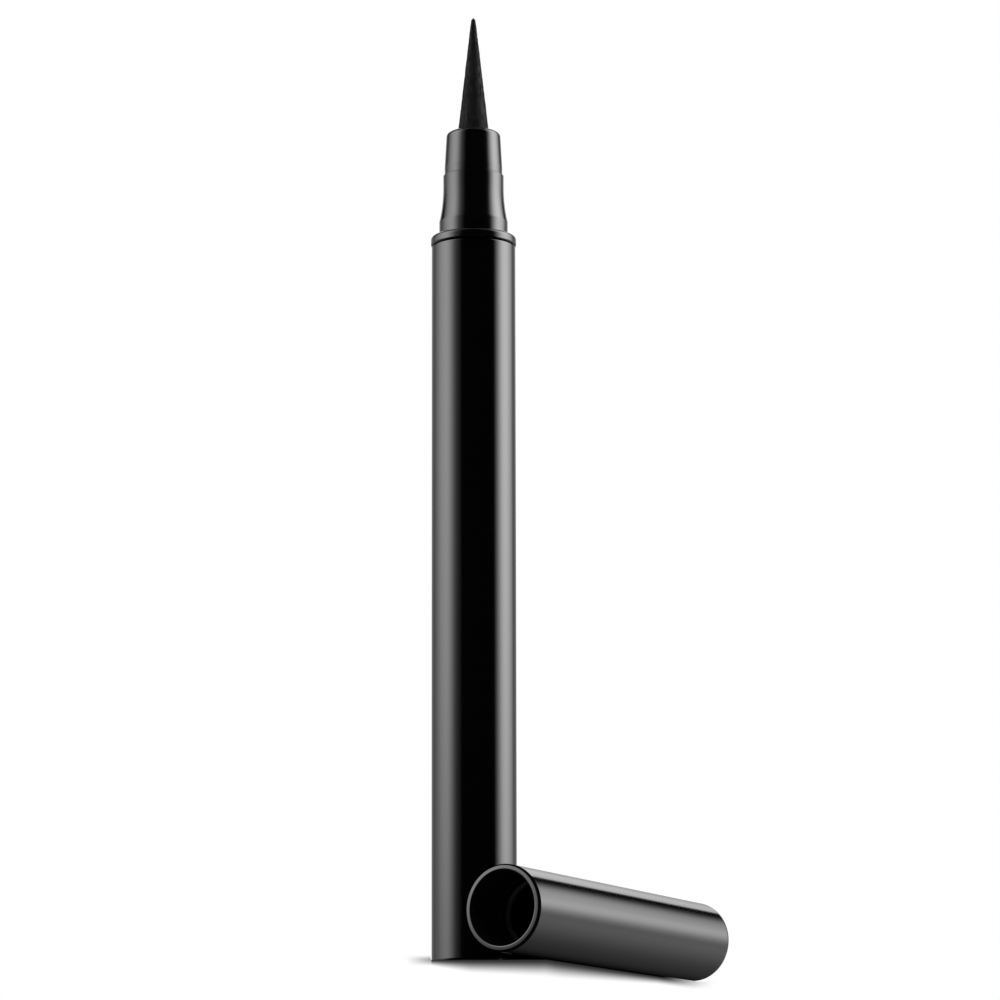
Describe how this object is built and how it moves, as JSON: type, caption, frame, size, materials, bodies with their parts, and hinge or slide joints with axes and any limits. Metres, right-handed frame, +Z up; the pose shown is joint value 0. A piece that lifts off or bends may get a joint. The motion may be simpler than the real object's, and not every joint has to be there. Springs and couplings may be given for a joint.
{
  "type": "eyeliner pen",
  "caption": "Felt-tip liquid eyeliner pen standing uncapped, with its long tapered cap lying beside it.",
  "frame": {"origin": "centre of the pen's foot, on the surface that the pen and the cap share", "axes": "+Z up the pen's axis to the nib's point; +Y along the lying cap, from its mouth to its closed end; +X from the pen to the cap"},
  "size_m": [0.0216, 0.0451, 0.1201],
  "materials": {
    "gloss_black": "gloss black moulded plastic",
    "section_black": "gloss black moulded plastic, a little softer than the barrel",
    "felt_black": "bonded fibre soaked in black ink",
    "inner_black": "plain black moulded plastic",
    "tank_clear": "natural translucent moulded plastic",
    "feed_white": "natural white moulded plastic",
    "wick_white": "bonded polyester fibre",
    "seal_grey": "soft elastomer",
    "steel": "bright stainless steel"
  },
  "bodies": {
    "pen": {"barrel": "gloss_black", "tail_plug": "inner_black", "ink_tank": "tank_clear", "tank_seal": "seal_grey", "collector": "feed_white", "relay_wick": "wick_white", "section": "section_black", "nib_holder": "section_black", "nib": "felt_black"},
    "mixing_ball": {"mixing_ball": "steel"},
    "cap": {"cap_shell": "gloss_black", "cap_spring": "steel"},
    "inner_cap": {"inner_cap": "inner_black", "inner_cap_seal": "seal_grey"}
  },
  "joints": [
    {"name": "mixing_ball_travel", "type": "slide", "parent": "pen", "child": "mixing_ball", "axis": [0, 0, 1], "range_m": [0, 0.0557]},
    {"name": "cap_lift", "type": "slide", "parent": "pen", "child": "cap", "axis": [0, 0, 1], "range_m": [0, 0.13]},
    {"name": "inner_cap_travel", "type": "slide", "parent": "cap", "child": "inner_cap", "axis": [0, 1, -0.0084], "range_m": [0, 0.0015], "stiffness_N_per_m": 300, "springref_m": -0.001, "deforming": ["cap_spring"]}
  ]
}
